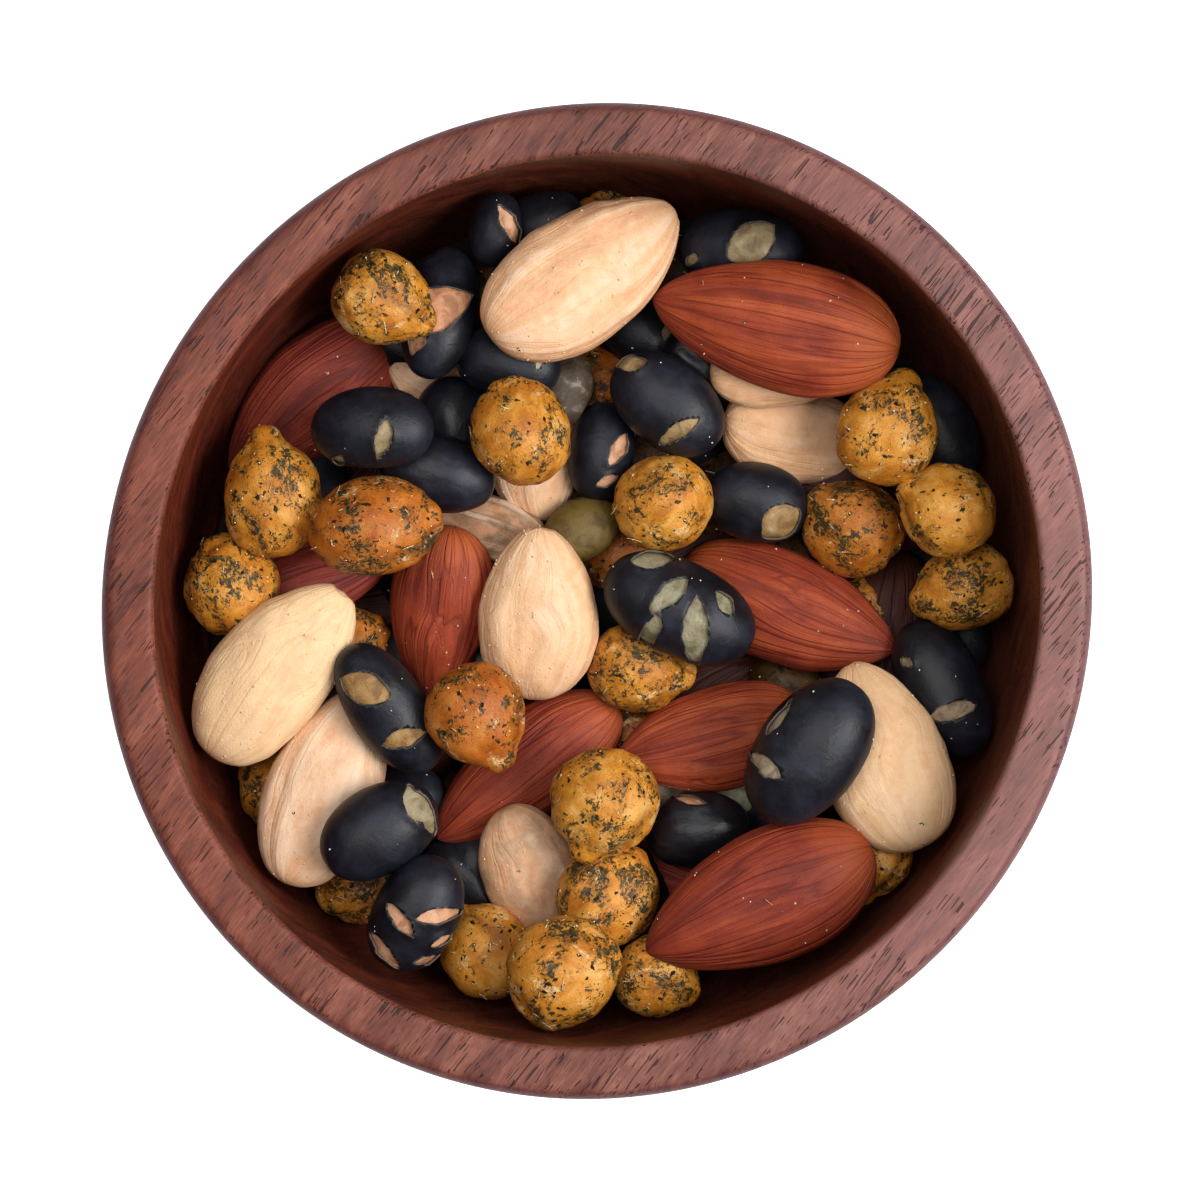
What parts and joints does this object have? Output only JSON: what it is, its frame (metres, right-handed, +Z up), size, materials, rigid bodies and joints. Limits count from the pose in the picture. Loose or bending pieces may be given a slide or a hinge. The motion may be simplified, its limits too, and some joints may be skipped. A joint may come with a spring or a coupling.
{
  "type": "bowl of trail mix",
  "caption": "Small turned wooden bowl, slightly oval with a thick flat rim, filled with a loose mix of almonds, roasted black soybeans and herbed chickpeas to just under the rim",
  "frame": {"origin": "the centre of the bowl's flat foot, at the height of the table it stands on", "axes": "+Z up, out of the bowl's mouth; the bowl is turned about Z and a little longer along the wood's grain, which runs 52 degrees from +X toward +Y; +X is to the right and +Y to the top of the view from above"},
  "size_m": [0.0994, 0.0998, 0.0475],
  "materials": {
    "dark_wood": "reddish-brown close-grained hardwood with dark pores, oiled to a low sheen",
    "nut_mix": "mixed roasted nuts and pulses, dry and matt; red-brown skins, cream kernels, blue-black beans, ochre chickpeas with dark herb flakes"
  },
  "bodies": {
    "root": {"bowl": "dark_wood", "trail_mix": "nut_mix"}
  },
  "joints": []
}
